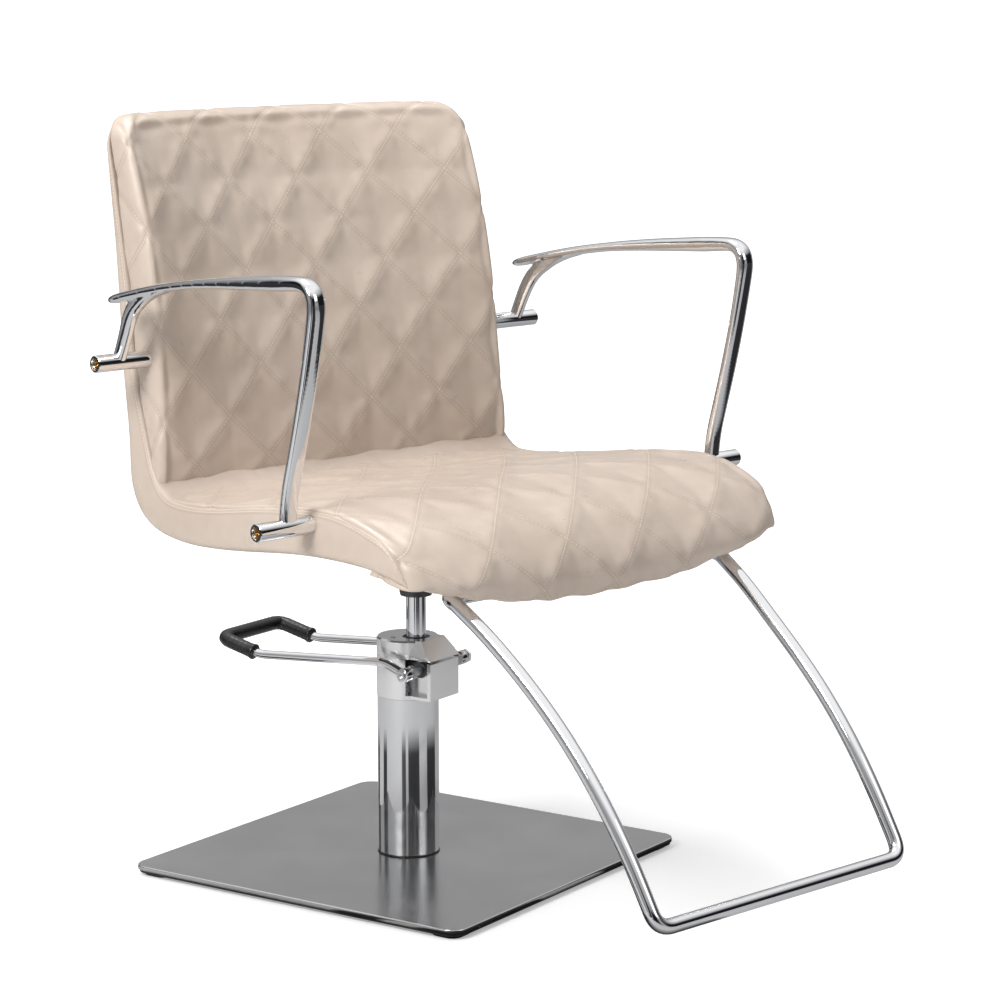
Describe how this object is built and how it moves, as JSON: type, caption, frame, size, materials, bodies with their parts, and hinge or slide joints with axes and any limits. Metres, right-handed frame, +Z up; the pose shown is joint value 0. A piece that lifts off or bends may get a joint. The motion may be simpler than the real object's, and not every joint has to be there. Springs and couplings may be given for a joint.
{
  "type": "styling chair",
  "caption": "Hydraulic styling chair with a quilted one-piece seat and back, cast metal armrests, a tubular footrest, a foot pump and a square steel base.",
  "frame": {"origin": "on the floor, on the axis of the ram", "axes": "+Z up, -Y the way the sitter faces, +X the sitter's left"},
  "size_m": [0.716, 0.8421, 0.852],
  "materials": {
    "leather": "smooth cream leather, slight gloss",
    "chrome": "polished chrome plate",
    "satin_steel": "satin stainless steel",
    "dark_steel": "dark machined steel and iron",
    "zinc": "zinc plated",
    "brass": "plain brass and brass-plated screws",
    "rubber": "matt black rubber",
    "black_paint": "matt black paint",
    "plywood": "plain birch plywood"
  },
  "bodies": {
    "base": {"base_cover": "satin_steel", "base_plate": "black_paint", "foot_left_front": "rubber", "foot_right_front": "rubber", "foot_left_rear": "rubber", "foot_right_rear": "rubber", "foot_centre": "rubber", "column_gasket": "rubber", "column_tube": "chrome", "column_foot": "dark_steel", "base_bolt_1": "zinc", "base_bolt_2": "zinc", "base_bolt_3": "zinc", "ram_cylinder": "dark_steel", "plunger_barrel": "dark_steel", "pump_head": "chrome", "ram_guide": "brass", "head_cap": "chrome", "ram_wiper": "rubber", "cap_screw": "zinc"},
    "pedal": {"pedal_rod": "chrome", "pedal_grip": "rubber", "pedal_shaft": "zinc", "shaft_nut_left": "zinc", "shaft_nut_right": "zinc", "shaft_cap": "chrome", "pump_crank": "dark_steel"},
    "plunger": {"plunger": "zinc", "plunger_spring": "zinc"},
    "piston": {"piston_head": "dark_steel", "piston_seal": "rubber"},
    "seat": {"ram": "chrome", "ram_nut": "zinc", "seat_socket": "dark_steel", "clamp_screw": "zinc", "seat_plate": "dark_steel", "plate_bolt_1": "zinc", "plate_bolt_2": "zinc", "plate_bolt_3": "zinc", "plate_bolt_4": "zinc", "underside_board": "black_paint", "back_cover": "leather", "shell_board": "plywood", "back_cushion": "leather", "seat_cushion": "leather", "back_cross_bar": "zinc", "seat_cross_bar": "zinc", "arm_right": "chrome", "arm_left": "chrome", "arm_screw_front_right": "brass", "arm_screw_front_left": "brass", "arm_screw_rear_right": "brass", "arm_screw_rear_left": "brass", "footrest_tube": "chrome", "footrest_plug_left": "rubber", "footrest_plug_right": "rubber", "footrest_bracket_left": "satin_steel", "footrest_bracket_right": "satin_steel", "bracket_screw_left": "zinc", "bracket_screw_right": "zinc"}
  },
  "joints": [
    {"name": "lift", "type": "slide", "parent": "base", "child": "piston", "axis": [0, 0, 1], "range_m": [-0.04, 0.1]},
    {"name": "swivel", "type": "hinge", "parent": "piston", "child": "seat", "pos_m": [0, 0, 0.3], "axis": [0, 0, 1], "continuous": true},
    {"name": "pedal_press", "type": "hinge", "parent": "base", "child": "pedal", "pos_m": [0.00504, -0.02275, 0.232], "axis": [-0.9763, -0.2164, 0], "range_deg": [0, 28], "stiffness_Nm_per_rad": 4, "springref_deg": -28.65},
    {"name": "plunger_stroke", "type": "slide", "parent": "base", "child": "plunger", "axis": [0, 0, -1], "range_m": [0, 0.0122], "deforming": ["plunger_spring"]}
  ],
  "couplings": [
    {"joint": "plunger_stroke", "follows": "pedal_press", "m_per_rad": 0.0246}
  ]
}
